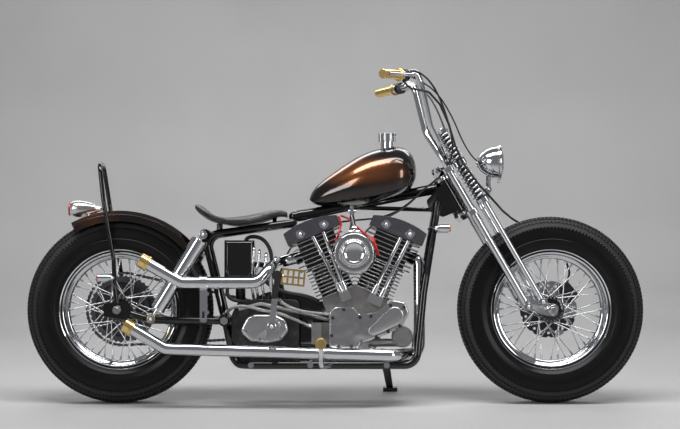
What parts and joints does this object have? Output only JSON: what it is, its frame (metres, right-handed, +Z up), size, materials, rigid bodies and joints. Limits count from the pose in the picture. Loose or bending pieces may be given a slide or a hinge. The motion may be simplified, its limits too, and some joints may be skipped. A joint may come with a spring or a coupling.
{
  "type": "chopper motorcycle",
  "caption": "Black and copper custom chopper motorcycle with V-twin engine, spring fork and wire wheels, leaning on its side stand.",
  "frame": {"origin": "middle of the machine's box on the ground, as it stands leaned on its side stand", "axes": "+X forward along the machine, +Z up, +Y to the machine's left, the side it leans to"},
  "size_m": [2.232, 0.7706, 1.2043],
  "materials": {
    "black_enamel": "gloss",
    "candy_copper": "gloss metal flake",
    "chrome": "polished",
    "polished_alloy": "polished",
    "cast_alloy": "as cast",
    "dark_satin": "satin",
    "black_fins": "satin",
    "brass": "polished",
    "tyre_rubber": "matte",
    "black_rubber": "satin",
    "black_leather": "satin",
    "steel": "satin",
    "clear_glass": "clear",
    "red_lens": "gloss"
  },
  "bodies": {
    "chassis": {"main_frame": "black_enamel", "swingarm": "black_enamel", "rear_axle": "steel", "rear_shocks": "chrome", "drive_chain": "steel", "engine_cases": "cast_alloy", "cylinder_rear": "black_fins", "cylinder_front": "black_fins", "rocker_boxes": "dark_satin", "pushrod_tubes": "chrome", "tappet_blocks": "polished_alloy", "cam_cover": "polished_alloy", "oil_pump": "cast_alloy", "air_cleaner": "chrome", "carburettor": "cast_alloy", "gearbox": "cast_alloy", "kick_cover": "polished_alloy", "kick_arm": "polished_alloy", "kick_pedal": "brass", "primary_cover": "black_enamel", "exhaust_pipes": "chrome", "exhaust_tips": "brass", "pipe_hangers": "chrome", "fuel_tank": "candy_copper", "fuel_cap": "black_enamel", "seat": "black_leather", "oil_tank": "black_enamel", "rear_mudguard": "candy_copper", "tail_lamp": "polished_alloy", "tail_lens": "red_lens", "backrest_bar": "black_enamel", "corner_lamps": "chrome", "corner_lenses": "red_lens", "foot_pegs": "chrome", "peg_ends": "brass", "oil_hoses": "steel"},
    "fork": {"fork_chassis": "chrome", "spring_fork_legs": "chrome", "fork_springs": "chrome", "fork_rockers": "chrome", "handlebar": "chrome", "grips": "brass", "hand_controls": "black_enamel", "headlamp": "chrome", "headlamp_lens": "clear_glass", "front_calliper": "black_enamel", "brake_hose": "black_rubber"},
    "front_wheel_assembly": {"front_tyre": "tyre_rubber", "front_wheel": "chrome", "front_disc": "black_enamel"},
    "rear_wheel_assembly": {"rear_tyre": "tyre_rubber", "rear_wheel": "chrome", "rear_drum": "black_enamel"},
    "stand": {"side_stand": "black_enamel"}
  },
  "joints": [
    {"name": "steering", "type": "hinge", "parent": "chassis", "child": "fork", "pos_m": [0.40857, -0.02324, 0.76568], "axis": [-0.5, 0.0755, 0.8627], "range_deg": [-32, 32]},
    {"name": "front_wheel_spin", "type": "hinge", "parent": "fork", "child": "front_wheel_assembly", "pos_m": [0.779, -0.06086, 0.33572], "axis": [0, 0.9962, -0.0872], "continuous": true},
    {"name": "rear_wheel_spin", "type": "hinge", "parent": "chassis", "child": "rear_wheel_assembly", "pos_m": [-0.779, -0.06086, 0.33572], "axis": [0, 0.9962, -0.0872], "continuous": true},
    {"name": "side_stand_fold", "type": "hinge", "parent": "chassis", "child": "stand", "pos_m": [0.186, 0.07603, 0.12197], "axis": [-0.058, 0.6907, 0.7208], "range_deg": [0, 89]}
  ]
}
